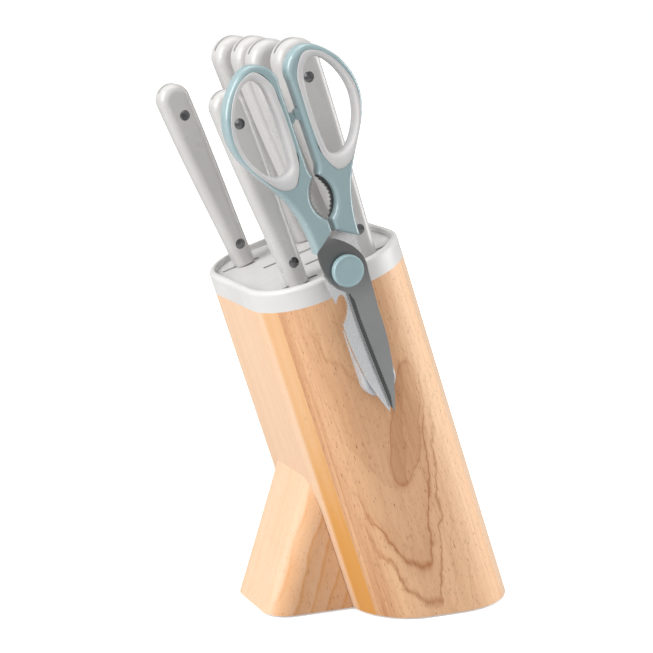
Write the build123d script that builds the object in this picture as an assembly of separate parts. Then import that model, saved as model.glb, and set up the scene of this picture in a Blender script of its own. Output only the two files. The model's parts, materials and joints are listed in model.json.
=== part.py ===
from build123d import *
import math
import os

# Knife block with six knives and a pair of kitchen scissors.
# Millimetres, +Z up. The origin is on the table, where the axis of the leaning block meets it.
# The block leans towards -Y, and every slot lies in a plane of constant X.

# --- block -------------------------------------------------------------------
LEAN = 18.0                # lean of the block's axis from the vertical, degrees
HALF_WIDTH = 68.0          # half of the block across X
HALF_DEPTH = 50.0          # half of the block across its slots
FRONT_CORNER = (39.0, 34.0)  # semi-axes of the two front corners
REAR_CORNER = (46.0, 44.0)   # semi-axes of the two rear corners
WOOD_TOP = 216.0           # axis height of the joint between wood and cap
CAP_HEIGHT = 13.0          # height of the cap's rim above the wood
PAD_SHEET = 1.0            # thickness of the non-slip sheets under the wood
FLOOR_BOARD = 10.0         # thickness of the board that closes the bottom
BASE_INSET = 3.0           # the non-slip sheets stay this far inside the wood

# --- hollow inside the block --------------------------------------------------
BAY_HALF_WIDTH = 46.5
BAY_FRONT = -41.0
BAY_REAR = 39.0
JOINT = 52.5               # the front and rear boards lap over the side boards out to here

# --- cap ----------------------------------------------------------------------
RIM_INSET = 4.0            # from the outside of the cap to the inner edge of its rim
RIM_ROUND = 2.6            # outside rounding of the rim
RIM_INNER_ROUND = 0.8      # rounding of the rim towards the sunk plate
RECESS = 4.0               # depth of the slot plate below the rim
PLATE = 3.0                # thickness of the slot plate
PLUG_WALL = 2.2            # wall of the plug that enters the wood
PLUG_DEPTH = 14.0
SLOT_WIDTH = 3.4
FIT_GAP = 0.15             # clearance of fitted plastic parts in wood

# --- wedge foot -----------------------------------------------------------------
WEDGE_HALF_WIDTH = 33.6
WEDGE_TOE = -107.0         # y of the foot's front edge on the table
WEDGE_TOP = 104.5          # axis height where the foot's front face meets the block
WEDGE_ROUND = 15.0         # rounding of the foot's two front edges
WEDGE_SCREWS = (30.0, 66.0)  # axis heights of the screws that hold the foot
WEDGE_SCREW_SPREAD = 18.0  # their distance from the middle
WEDGE_SCREW = (22.0, 1.9, 3.8, 2.4)  # length, shank radius, head radius, head depth

# --- knives ---------------------------------------------------------------------
BLADE_GAP = 0.35           # gap between a handle's base and the slot plate at rest
HEEL = 2.0                 # the blade's heel starts this far below the handle
TANG_LIP = 3.0             # the handle scales close round the tang's front edge
RIVET_RADIUS = 3.2
RIVET_PROUD = 0.12
EDGE = 0.35                # thickness at the cutting edge
# x and v of the base, forward tilt, edge and spine, length below the handle, form, handle, slot
KNIVES = {
    "paring": dict(x=-42.5, v=-23.9, tilt=5.1, blade=(-13.0, 7.0), length=92.0,
                   form="point", handle="small", slot=(-39.3, -14.5)),
    "utility": dict(x=43.0, v=-22.6, tilt=3.6, blade=(-12.0, 10.0), length=128.0,
                    form="point", handle="small", slot=(-35.5, -10.0)),
    "carving": dict(x=-42.5, v=19.1, tilt=3.0, blade=(-20.0, 8.0), length=186.0,
                    form="point", handle="large", slot=(-2.5, 31.0)),
    "chef": dict(x=-15.0, v=20.3, tilt=2.4, blade=(-38.0, 8.0), length=188.0,
                 form="belly", handle="large", slot=(-21.8, 31.0)),
    "santoku": dict(x=13.8, v=17.3, tilt=1.8, blade=(-21.0, 8.0), length=170.0,
                    form="sheep", handle="large", slot=(-5.0, 29.5)),
    "bread": dict(x=43.0, v=20.8, tilt=1.1, blade=(-20.0, 9.0), length=188.0,
                  form="bread", handle="large", slot=(-1.0, 36.8)),
}
# half widths at the base and at the butt, front then rear
HANDLES = {
    "small": dict(base=(6.3, 5.5), butt=(10.7, 8.8), length=121.0, thickness=16.2, round=5.2,
                  steel=1.6, rivets=(13.8, 100.8)),
    "large": dict(base=(8.0, 7.6), butt=(15.2, 11.4), length=135.0, thickness=18.0, round=6.0,
                  steel=2.2, rivets=(17.5, 111.7)),
}

# --- scissors -------------------------------------------------------------------
PIVOT_V = -5.2             # pivot across the slots, in the block's own axes
PIVOT_H = 232.0            # pivot along the block's axis
SCISSOR_TILT = 1.0         # the handles lean this much further forward, degrees
STEEL = 2.2                # thickness of each half's steel
HALVES_GAP = 0.12          # gap between the two halves
REAR_STEEL_X = 76.4        # inner face of the rear half's steel
SHELL_BACK_X = 73.6        # inner face of the moulded handles
SHELL_THICKNESS = 10.6
SHELL_ROUND = 2.6
LINING_PROUD = 0.3         # the soft lining stands this far out of the handle
STOP_S = 93.0              # distance of the stops from the pivot
STOP_RADIUS = 3.6
STOP_GAP = 0.15            # from the tip of each stop to the middle of the scissors
# the shell's opening for the soft lining, and the finger hole inside the lining
SOCKET = [
    (6.7, 75.0), (6.7, 103.0), (8.0, 115.5), (15.6, 125.0), (24.4, 122.6), (33.0, 112.8), (38.6, 97.0),
    (37.0, 82.0), (29.5, 67.4), (21.2, 57.4), (14.0, 56.4), (8.4, 65.0),
]
HOLE = [
    (10.7, 76.0), (10.7, 104.0), (13.2, 116.6), (19.0, 120.9), (26.2, 117.4), (33.4, 106.5), (36.2, 93.0),
    (33.4, 79.0), (25.6, 67.6), (18.6, 64.4), (12.4, 67.2),
]
TEETH = 11                 # nutcracker teeth on each half
TEETH_LOW = 31.0
TEETH_HIGH = 57.0
TEETH_ENDS = 1.6           # distance of the toothed edge from the middle at both ends
TEETH_ROOT = 5.2           # how much deeper it is at its middle
TOOTH = 0.9
TOOTH_LEAN = 1.6
PIN_RADIUS = 3.0
PIN_CLEARANCE = 0.05
PIN_HEAD = (5.4, 1.4)      # radius and height of the pin's head behind the rear half
PIN_END = 2.6              # how far the pin reaches into the pivot cap
CAP_RADIUS = 9.8
CAP_THICKNESS = 4.4
CAP_ROUND = 1.2
WASHER_RADIUS = 5.6
WASHER_THICKNESS = 0.5

# --- magnet pad -----------------------------------------------------------------
PAD_V = -3.3               # middle of the pad across the slots
PAD_LOW = 151.0
PAD_HIGH = 203.0
PAD_RADIUS = 10.5
PAD_THICKNESS = 7.9
PAD_ROUND = 2.5
PAD_SHELL = 1.6            # wall of the moulded pad
KEEPER_INSET = 2.2         # the steel keeper inside is this much smaller than the pad
KEEPER_THICKNESS = 1.5
MAGNET_RADIUS = 6.0
MAGNETS = (168.0, 186.0)   # axis heights of the two magnets
PAD_SCREWS = (157.5, 196.5)  # axis heights of the two screws
PAD_SCREW = (14.0, 1.4, 2.8, 1.2)  # length, shank radius, head radius, head depth

# colours of the nodes
WOOD = (0.82, 0.58, 0.34)
WHITE = (0.90, 0.90, 0.89)
BLUE_GREY = (0.50, 0.63, 0.67)
STEEL_COLOUR = (0.62, 0.63, 0.64)
DARK = (0.18, 0.18, 0.19)

lean = math.radians(LEAN)
AXIS = Vector(0, -math.sin(lean), math.cos(lean))
ACROSS = Vector(0, math.cos(lean), math.sin(lean))
BLOCK = Plane(origin=(0, 0, 0), x_dir=(1, 0, 0), z_dir=AXIS)
SIDE = Plane(origin=(0, 0, 0), x_dir=ACROSS, z_dir=(1, 0, 0))
PLATE_TOP = WOOD_TOP + CAP_HEIGHT - RECESS
BELOW_TABLE = -40.0        # axis height safely under the table, for cutting blanks
REACH = 400.0              # longer than anything in the model


def slab(outline, plane, low, high):
    """A solid from a closed outline on a plane, between two heights above that plane."""
    face = plane * Pos(0, 0, low) * make_face(outline)
    return extrude(face, amount=high - low, dir=plane.z_dir)


def block_box(u_low, u_high, v_low, v_high, h_low, h_high):
    """A box in the leaning block's own axes."""
    size = (u_high - u_low, v_high - v_low, h_high - h_low)
    middle = ((u_low + u_high) / 2, (v_low + v_high) / 2, (h_low + h_high) / 2)
    return BLOCK * Pos(*middle) * Box(*size)


def above(z):
    """Everything above a level."""
    return Pos(0, 0, z + REACH / 2) * Box(REACH, REACH, REACH)


def save(name, shape, colour):
    shape.color = Color(*colour)
    shape.label = name
    export_step(shape, f"parts/{name}.step")


def section(inset=0.0):
    """Outline of the block across its axis: a rectangle with four elliptical corners."""
    wide, deep = HALF_WIDTH - inset, HALF_DEPTH - inset
    fu, fv = (r - inset for r in FRONT_CORNER)
    ru, rv = (r - inset for r in REAR_CORNER)
    return [
        Line((-wide + fu, -deep), (wide - fu, -deep)),
        EllipticalCenterArc((wide - fu, -deep + fv), fu, fv, 270),
        Line((wide, -deep + fv), (wide, deep - rv)),
        EllipticalCenterArc((wide - ru, deep - rv), ru, rv, 0),
        Line((wide - ru, deep), (-wide + ru, deep)),
        EllipticalCenterArc((-wide + ru, deep - rv), ru, rv, 90),
        Line((-wide, deep - rv), (-wide, -deep + fv)),
        EllipticalCenterArc((-wide + fu, -deep + fv), fu, fv, 180),
    ]


# --- wood -----------------------------------------------------------------------

def wood_boards():
    """The hollow body: four glued boards and the board that closes the bottom."""
    blank = slab(section(), BLOCK, BELOW_TABLE, WOOD_TOP) & above(PAD_SHEET)
    heights = (BELOW_TABLE, WOOD_TOP)
    front = blank & block_box(-JOINT, JOINT, -HALF_WIDTH, BAY_FRONT, *heights)
    rear = blank & block_box(-JOINT, JOINT, BAY_REAR, HALF_WIDTH, *heights)
    right = (blank & block_box(BAY_HALF_WIDTH, REACH, -REACH, REACH, *heights)) - front - rear
    left = (blank & block_box(-REACH, -BAY_HALF_WIDTH, -REACH, REACH, *heights)) - front - rear
    bay = block_box(-BAY_HALF_WIDTH, BAY_HALF_WIDTH, BAY_FRONT, BAY_REAR, *heights)
    floor = (bay & above(PAD_SHEET)) - above(PAD_SHEET + FLOOR_BOARD)
    return right, left, front, rear, floor


def wedge_blank(inset=0.0):
    """The foot's triangular form, down to the table, with its two front edges rounded."""
    meet = ACROSS * -HALF_DEPTH + AXIS * WEDGE_TOP
    run = Vector(0, meet.Y - WEDGE_TOE, meet.Z)
    half, toe = WEDGE_HALF_WIDTH - inset, WEDGE_TOE + inset
    outline = FilletPolyline(
        (-half, 0), (-half, toe), (half, toe), (half, 0), radius=WEDGE_ROUND - inset
    )
    face = make_face([outline, Line((half, 0), (-half, 0))])
    blank = extrude(face, amount=run.length, dir=run.normalized())
    return blank & block_box(-REACH, REACH, -REACH, -HALF_DEPTH - inset, -REACH, REACH)


def sheet_from(blank):
    """The thin non-slip sheet glued under a wooden piece."""
    return (blank & above(0.0)) - above(PAD_SHEET)


def countersunk_screw(length, shank, head, head_depth):
    """A countersunk screw pointing down -Z with the top of its head at 0."""
    profile = [
        Polyline((0, 0), (head, 0), (shank, -head_depth), (shank, -length + shank), (0, -length)),
        Line((0, -length), (0, 0)),
    ]
    return revolve(Plane.XZ * make_face(profile), axis=Axis.Z)


def wedge_screws():
    """Screws driven from inside the block through the front board into the foot."""
    screws = []
    for h in WEDGE_SCREWS:
        for u in (-WEDGE_SCREW_SPREAD, WEDGE_SCREW_SPREAD):
            head = Vector(u, 0, 0) + ACROSS * BAY_FRONT + AXIS * h
            screws.append(Plane(origin=head, z_dir=ACROSS) * countersunk_screw(*WEDGE_SCREW))
    return Compound(children=screws)


# --- cap ------------------------------------------------------------------------

def plug_box(inset, low, high):
    """A box that stays a little inside the hollow of the wood."""
    half = BAY_HALF_WIDTH - inset
    return block_box(-half, half, BAY_FRONT + inset, BAY_REAR - inset, low, high)


def cap():
    """White moulded cap: a rounded rim, a sunk slot plate and a plug that enters the wood."""
    rim_top = WOOD_TOP + CAP_HEIGHT
    body = slab(section(), BLOCK, WOOD_TOP, rim_top)
    up = Axis(origin=(0, 0, 0), direction=AXIS)
    body = fillet(body.faces().sort_by(up)[-1].edges(), radius=RIM_ROUND)
    body -= slab(section(RIM_INSET), BLOCK, PLATE_TOP, rim_top + 1)
    inner_edges = body.faces().sort_by(up)[-1].inner_wires()[0].edges()
    body = fillet(inner_edges, radius=RIM_INNER_ROUND)
    body -= slab(section(RIM_INSET), BLOCK, WOOD_TOP - 1, PLATE_TOP - PLATE)
    plug_end = WOOD_TOP - PLUG_DEPTH
    body += plug_box(FIT_GAP, plug_end, PLATE_TOP - PLATE)
    body -= plug_box(FIT_GAP + PLUG_WALL, plug_end - 1, PLATE_TOP - PLATE)
    for knife in KNIVES.values():
        front, rear = knife["slot"]
        x = knife["x"]
        half = SLOT_WIDTH / 2
        body -= block_box(x - half, x + half, front, rear, WOOD_TOP, rim_top)
    return body


# --- knives ---------------------------------------------------------------------

def knife_plane(knife, handle):
    """Axes of one knife: +Z out of the block along the knife, +Y towards its spine."""
    tilt = math.radians(knife["tilt"])
    up = AXIS * math.cos(tilt) - ACROSS * math.sin(tilt)
    height = PLATE_TOP + BLADE_GAP + handle["base"][0] * math.sin(tilt)
    origin = Vector(knife["x"], 0, 0) + ACROSS * knife["v"] + AXIS * height
    return Plane(origin=origin, x_dir=(1, 0, 0), z_dir=up)


def profile_plane(plane):
    """The knife's side view: local x towards the spine, local y along the knife, normal +X."""
    return Plane(origin=plane.origin, x_dir=plane.y_dir, z_dir=(1, 0, 0))


def handle_outline(handle):
    """Side view of a handle: flat base, sides that open out, and a round butt."""
    base_front, base_rear = handle["base"]
    butt_front, butt_rear = handle["butt"]
    radius = (butt_front + butt_rear) / 2
    shoulder = handle["length"] - radius
    middle = (butt_rear - butt_front) / 2
    rear_slope = (butt_rear - base_rear, shoulder)
    front_slope = (butt_front - base_front, -shoulder)
    return [
        Line((-base_front, 0), (base_rear, 0)),
        Spline((base_rear, 0), (butt_rear, shoulder), tangents=[rear_slope, (0, 1)]),
        ThreePointArc((butt_rear, shoulder), (middle, handle["length"]), (-butt_front, shoulder)),
        Spline((-butt_front, shoulder), (-base_front, 0), tangents=[(0, -1), front_slope]),
    ]


def handle_parts(handle, side_view, steel):
    """Two scales, right and left, closed round the tang."""
    scales = []
    half = handle["thickness"] / 2
    for low, high in ((0, half), (-half, 0)):
        blank = slab(handle_outline(handle), side_view, low, high)
        outer = blank.faces().sort_by(Axis.X)[-1 if high else 0]
        base_edge = outer.edges().sort_by_distance(side_view.origin)[0]
        rounded = [edge for edge in outer.edges() if not edge.is_same(base_edge)]
        scales.append(fillet(rounded, radius=handle["round"]) - steel)
    return scales


def rivets(handle, side_view):
    """Two round rivets that run through both scales and the tang."""
    half = handle["thickness"] / 2 + RIVET_PROUD
    pins = [
        side_view * Pos(0, height, 0) * Cylinder(RIVET_RADIUS, 2 * half)
        for height in handle["rivets"]
    ]
    return Compound(children=pins)


def blade_outline(knife):
    """Side view of a blade below the handle, point down, edge on the left."""
    edge, spine = knife["blade"]
    length = knife["length"]
    wide = spine - edge
    form = knife["form"]
    if form == "sheep":
        return [
            Line((edge, -HEEL), (spine, -HEEL)),
            Line((spine, -HEEL), (spine, -0.76 * length)),
            Spline((spine, -0.76 * length), (edge, -length), tangents=[(0, -1), (-1, -0.35)]),
            Line((edge, -length), (edge, -HEEL)),
        ]
    if form == "bread":
        shoulder = (spine, -length + 0.55 * wide)
        tip = (edge + 0.3 * wide, -length)
        corner = (edge, -length + 0.5 * wide)
        return [
            Line((edge, -HEEL), (spine, -HEEL)),
            Line((spine, -HEEL), shoulder),
            Spline(shoulder, tip, tangents=[(0, -1), (-1, -0.3)]),
            Line(tip, corner),
            Line(corner, (edge, -HEEL)),
        ]
    belly = 0.45 if form == "belly" else 0.6
    tip = spine - 0.3 * wide
    return [
        Line((edge, -HEEL), (spine, -HEEL)),
        Line((spine, -HEEL), (spine, -0.6 * length)),
        Spline((spine, -0.6 * length), (tip, -length), tangents=[(0, -1), (-0.35, -1)]),
        Spline((tip, -length), (edge, -belly * length), tangents=[(-0.6, 1), (0, 1)]),
        Line((edge, -belly * length), (edge, -HEEL)),
    ]


def blade_and_tang(knife, handle, plane, side_view):
    """Blade, neck and tang in one piece of steel, ground thinner towards its edge."""
    half = handle["steel"] / 2
    edge, spine = knife["blade"]
    reach = knife["length"] + 1
    ground = Polyline((-half, spine), (half, spine), (EDGE / 2, edge), (-EDGE / 2, edge), close=True)
    blade = slab(blade_outline(knife), side_view, -half, half)
    blade &= plane * Pos(0, 0, -reach) * extrude(make_face(ground), amount=reach)
    base_front, base_rear = handle["base"]
    neck = side_view * Pos((base_rear - base_front + TANG_LIP) / 2, -HEEL / 2, 0) * Box(
        base_rear + base_front - TANG_LIP, HEEL, 2 * half
    )
    tang = slab(handle_outline(handle), side_view, -half, half)
    butt_front = handle["butt"][0]
    length = handle["length"]
    lip = Polyline(
        (-base_front + TANG_LIP, 0), (-butt_front + TANG_LIP, length - 2 * butt_front),
        (-butt_front + TANG_LIP, length + 1), (-REACH, length + 1), (-REACH, 0), close=True,
    )
    tang -= slab(lip, side_view, -half - 1, half + 1)
    return blade + neck + tang


def write_knife(name, knife):
    handle = HANDLES[knife["handle"]]
    plane = knife_plane(knife, handle)
    side_view = profile_plane(plane)
    pins = rivets(handle, side_view)
    steel = blade_and_tang(knife, handle, plane, side_view)
    right, left = handle_parts(handle, side_view, steel)
    for pin in pins.children:
        steel -= pin
        right -= pin
        left -= pin
    save(f"{name}_blade", steel, STEEL_COLOUR)
    save(f"{name}_scale_right", right, WHITE)
    save(f"{name}_scale_left", left, WHITE)
    save(f"{name}_rivets", pins, STEEL_COLOUR)


# --- scissors -------------------------------------------------------------------

def scissor_plane():
    """Axes of the closed scissors: x across, y up along the handles, normal +X."""
    tilt = math.radians(SCISSOR_TILT)
    across = ACROSS * math.cos(tilt) + AXIS * math.sin(tilt)
    origin = ACROSS * PIVOT_V + AXIS * PIVOT_H
    return Plane(origin=origin, x_dir=across, z_dir=(1, 0, 0))


def flip(points, side):
    return [(side * a, s) for a, s in points]


def toothed_edge(side):
    """The serrated inner edge of the steel, seen in the gap between the handles."""
    points = []
    for k in range(TEETH + 1):
        s = TEETH_LOW + (TEETH_HIGH - TEETH_LOW) * k / TEETH
        along = (s - TEETH_LOW) / (TEETH_HIGH - TEETH_LOW)
        root = TEETH_ROOT * math.sin(math.pi * along) + TEETH_ENDS
        points.append((root, s))
        if k < TEETH:
            mid = along + 0.5 / TEETH
            points.append((TEETH_ROOT * math.sin(math.pi * mid) + TEETH_ENDS - TOOTH, s + TOOTH_LEAN))
    return flip(points, side)


def hooked_spine():
    """Back of the rear half's blade just below the pivot, with its bottle opener."""
    return [
        Polyline((-12.7, -5.0), (-12.6, -9.5), (-11.4, -17.0), (-9.0, -13.5), (-6.5, -12.6)),
        Spline((-6.5, -12.6), (-5.0, -16.5), (-7.8, -26.0), (-11.3, -30.0)),
    ]


def scissor_steel(side, low):
    """One half's steel: blade below the pivot, shank above it. side is +1 for the rear half."""
    outline = [
        Line(*flip([(2.9, 21.0), (TEETH_ENDS, TEETH_LOW)], side)),
        Polyline(*toothed_edge(side)),
        Polyline(*flip([(TEETH_ENDS, TEETH_HIGH), (6.5, 61.0), (10.5, 58.0), (11.0, 40.0), (12.8, 14.0)], side)),
        Spline(*flip([(12.8, 14.0), (12.4, 2.0), (8.6, -7.6), (3.2, -12.5)], side)),
        Spline(*flip([(3.2, -12.5), (3.2, -30.0), (0.3, -86.0)], side)),
        Line(*flip([(0.3, -86.0), (-1.1, -90.0)], side)),
        Spline(*flip([(-1.1, -90.0), (-8.0, -67.0), (-11.3, -30.0)], side)),
        *(hooked_spine() if side > 0 else [Line((12.7, -5.0), (11.3, -30.0))]),
        Spline(*flip([(-12.7, -5.0), (-11.6, 6.0), (-5.2, 15.0), (2.9, 21.0)], side)),
    ]
    return slab(outline, scissor_plane(), low, low + STEEL)


def loop_curve(points, side):
    return Spline(*flip(points, side), periodic=True)


def shell_blank(side):
    """Outside of one moulded handle, seen from the side."""
    outline = [
        Line(*flip([(1.0, 24.5), (14.2, 15.4)], side)),
        Spline(*flip([
            (14.2, 15.4), (15.2, 31.0), (21.1, 51.0), (32.0, 69.5), (40.8, 90.0), (38.4, 108.5),
            (28.5, 122.5), (17.0, 128.8), (7.2, 124.5), (3.2, 112.0),
        ], side)),
        Line(*flip([(3.2, 112.0), (3.2, 66.0)], side)),
        Spline(*flip([(3.2, 66.0), (2.8, 61.0), (1.5, 58.0)], side)),
        ThreePointArc(*flip([(1.5, 58.0), (7.7, 45.5), (1.0, 31.5)], side)),
        Line(*flip([(1.0, 31.5), (1.0, 24.5)], side)),
    ]
    return slab(outline, scissor_plane(), SHELL_BACK_X, SHELL_BACK_X + SHELL_THICKNESS)


def scissor_handle(side, steel):
    """One moulded handle with a stop on its inner edge, and the soft lining of its loop."""
    plane = scissor_plane()
    blank = shell_blank(side)
    outer_faces = (blank.faces().sort_by(Axis.X)[0], blank.faces().sort_by(Axis.X)[-1])
    blank = fillet([edge for face in outer_faces for edge in face.edges()], radius=SHELL_ROUND)
    back, front = SHELL_BACK_X, SHELL_BACK_X + SHELL_THICKNESS
    stop_centre = (side * (STOP_GAP + STOP_RADIUS), STOP_S, (back + front) / 2)
    blank += plane * Pos(*stop_centre) * Cylinder(STOP_RADIUS, SHELL_THICKNESS - 2 * SHELL_ROUND)
    socket = loop_curve(SOCKET, side)
    hole = loop_curve(HOLE, side)
    ring = slab([socket], plane, back - LINING_PROUD, front + LINING_PROUD)
    ring -= slab([hole], plane, back - 1, front + 1)
    shell = blank - slab([socket], plane, back - 1, front + 1) - steel
    return shell, ring - steel


def disc(x_low, x_high, radius):
    """A round piece on the scissors' pivot."""
    return scissor_plane() * Pos(0, 0, (x_low + x_high) / 2) * Cylinder(radius, x_high - x_low)


def scissors():
    """Rear and front halves, crossed at the pivot, and the pivot's own pieces."""
    rear_top = REAR_STEEL_X + STEEL
    front_low = rear_top + HALVES_GAP
    front_top = front_low + STEEL
    pin_end = front_top + WASHER_THICKNESS + HALVES_GAP + PIN_END
    halves = {"rear": (1, REAR_STEEL_X), "front": (-1, front_low)}
    for name, (side, low) in halves.items():
        steel = scissor_steel(side, low)
        shell, lining = scissor_handle(side, steel)
        clearance = PIN_CLEARANCE if name == "front" else 0.0
        steel -= disc(low - 1, low + STEEL + 1, PIN_RADIUS + clearance)
        save(f"scissors_{name}_blade", steel, STEEL_COLOUR)
        save(f"scissors_{name}_handle", shell, BLUE_GREY)
        save(f"scissors_{name}_lining", lining, WHITE)
    head_radius, head_height = PIN_HEAD
    pin = disc(REAR_STEEL_X - head_height, REAR_STEEL_X, head_radius)
    pin += disc(REAR_STEEL_X, pin_end, PIN_RADIUS)
    washer_low = front_top + HALVES_GAP
    washer = disc(washer_low, washer_low + WASHER_THICKNESS, WASHER_RADIUS)
    washer -= disc(washer_low - 1, pin_end, PIN_RADIUS)
    cap_low = washer_low + WASHER_THICKNESS
    cover = disc(cap_low, cap_low + CAP_THICKNESS, CAP_RADIUS)
    cover = fillet(cover.faces().sort_by(Axis.X)[-1].edges(), radius=CAP_ROUND)
    cover -= disc(cap_low - 1, pin_end, PIN_RADIUS)
    save("scissors_pivot_pin", pin, STEEL_COLOUR)
    save("scissors_washer", washer, STEEL_COLOUR)
    save("scissors_pivot_cap", cover, BLUE_GREY)


# --- magnet pad -----------------------------------------------------------------

def pill(inset, x_low, x_high):
    """A slab with two round ends on the block's right side."""
    height = PAD_HIGH - PAD_LOW - 2 * inset
    outline = SlotOverall(height, 2 * (PAD_RADIUS - inset), rotation=90)
    face = SIDE * Pos(PAD_V, (PAD_LOW + PAD_HIGH) / 2, x_low) * outline
    return extrude(face, amount=x_high - x_low, dir=(1, 0, 0))


def on_side(v, h, x):
    """A plane facing out of the block's right side."""
    return Plane(origin=ACROSS * v + AXIS * h + Vector(x, 0, 0), z_dir=(1, 0, 0))


def magnet_pad():
    """The pad that holds the scissors: a moulded cover over a screwed keeper and two magnets."""
    face_x = HALF_WIDTH
    cover = pill(0.0, face_x, face_x + PAD_THICKNESS)
    cover = fillet(cover.faces().sort_by(Axis.X)[-1].edges(), radius=PAD_ROUND)
    cover -= pill(KEEPER_INSET, face_x - 1, face_x + PAD_THICKNESS - PAD_SHELL)
    keeper_top = face_x + KEEPER_THICKNESS
    keeper = pill(KEEPER_INSET, face_x, keeper_top)
    screws = Compound(children=[
        on_side(PAD_V, h, keeper_top) * countersunk_screw(*PAD_SCREW)
        for h in PAD_SCREWS
    ])
    for screw in screws.children:
        keeper -= screw
    magnet_height = PAD_THICKNESS - PAD_SHELL - KEEPER_THICKNESS
    magnets = Compound(children=[
        on_side(PAD_V, h, keeper_top + magnet_height / 2) * Cylinder(MAGNET_RADIUS, magnet_height)
        for h in MAGNETS
    ])
    save("magnet_pad_cover", cover, WHITE)
    save("magnet_keeper", keeper, STEEL_COLOUR)
    save("magnet_pad_screws", screws, STEEL_COLOUR)
    save("magnets", magnets, DARK)
    return screws


def main():
    os.makedirs("parts", exist_ok=True)
    right, left, front, rear, floor = wood_boards()
    foot = wedge_blank() & above(PAD_SHEET)
    foot_screws = wedge_screws()
    for screw in foot_screws.children:
        front -= screw
        foot -= screw
    for screw in magnet_pad().children:
        right -= screw
    save("board_right", right, WOOD)
    save("board_left", left, WOOD)
    save("board_front", front, WOOD)
    save("board_rear", rear, WOOD)
    save("floor_board", floor, WOOD)
    save("wedge_foot", foot, WOOD)
    save("wedge_screws", foot_screws, STEEL_COLOUR)
    save("base_sheet", sheet_from(slab(section(BASE_INSET), BLOCK, BELOW_TABLE, WOOD_TOP)), DARK)
    save("wedge_sheet", sheet_from(wedge_blank(BASE_INSET)), DARK)
    save("cap", cap(), WHITE)
    for name, knife in KNIVES.items():
        write_knife(name, knife)
    scissors()


main()
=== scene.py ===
import json
import math

import bpy
from mathutils import Matrix, Vector


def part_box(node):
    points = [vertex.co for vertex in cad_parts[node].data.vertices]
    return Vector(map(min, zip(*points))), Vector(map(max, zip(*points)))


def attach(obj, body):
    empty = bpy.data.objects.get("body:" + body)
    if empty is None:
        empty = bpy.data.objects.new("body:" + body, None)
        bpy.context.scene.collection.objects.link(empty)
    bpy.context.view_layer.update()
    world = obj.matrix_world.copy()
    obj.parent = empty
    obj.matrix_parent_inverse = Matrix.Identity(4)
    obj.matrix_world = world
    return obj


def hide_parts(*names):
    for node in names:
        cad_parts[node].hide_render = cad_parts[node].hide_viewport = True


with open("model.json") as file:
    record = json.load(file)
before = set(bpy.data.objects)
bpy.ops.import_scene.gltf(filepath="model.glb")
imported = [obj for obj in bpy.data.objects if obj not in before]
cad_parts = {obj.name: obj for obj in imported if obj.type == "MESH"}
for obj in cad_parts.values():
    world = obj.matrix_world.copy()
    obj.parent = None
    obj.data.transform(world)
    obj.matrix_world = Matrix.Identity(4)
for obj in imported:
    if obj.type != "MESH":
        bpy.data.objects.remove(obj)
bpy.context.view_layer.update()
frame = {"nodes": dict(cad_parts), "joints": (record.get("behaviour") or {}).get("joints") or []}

# Knife block with six riveted knives and a pair of kitchen scissors on a magnet pad.
# Everything is in metres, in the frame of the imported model: +Z up, the block leans towards -Y.

MM = 0.001
OUT = Vector((1.0, 0.0, 0.0))       # towards the side with the scissors
LEAN = math.radians(18.0)
JOINTS = {joint["name"]: joint for joint in frame["joints"]}
KNIVES = ("paring", "utility", "carving", "chef", "santoku", "bread")

# closed outlines of the scissors' handles: across, along, in millimetres from the pivot
SOCKET = [
    (6.7, 75.0), (6.7, 103.0), (8.0, 115.5), (15.6, 125.0), (24.4, 122.6), (33.0, 112.8), (38.6, 97.0),
    (37.0, 82.0), (29.5, 67.4), (21.2, 57.4), (14.0, 56.4), (8.4, 65.0),
]
HOLE = [
    (10.7, 76.0), (10.7, 104.0), (13.2, 116.6), (19.0, 120.9), (26.2, 117.4), (33.4, 106.5), (36.2, 93.0),
    (33.4, 79.0), (25.6, 67.6), (18.6, 64.4), (12.4, 67.2),
]


# --- small helpers ----------------------------------------------------------------

def add_piece(name, verts, faces, material, body, replaced=(), sharp_angle=35.0):
    """A new mesh piece that rides on a body, and may stand for some of the model's nodes."""
    mesh = bpy.data.meshes.new(name)
    mesh.from_pydata([tuple(v) for v in verts], [], faces)
    mesh.validate()
    mesh.update()
    mesh.shade_smooth()
    mesh.set_sharp_from_angle(angle=math.radians(sharp_angle))
    mesh.materials.append(material)
    piece = bpy.data.objects.new(name, mesh)
    bpy.context.scene.collection.objects.link(piece)
    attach(piece, body)
    if replaced:
        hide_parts(*replaced)


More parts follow.
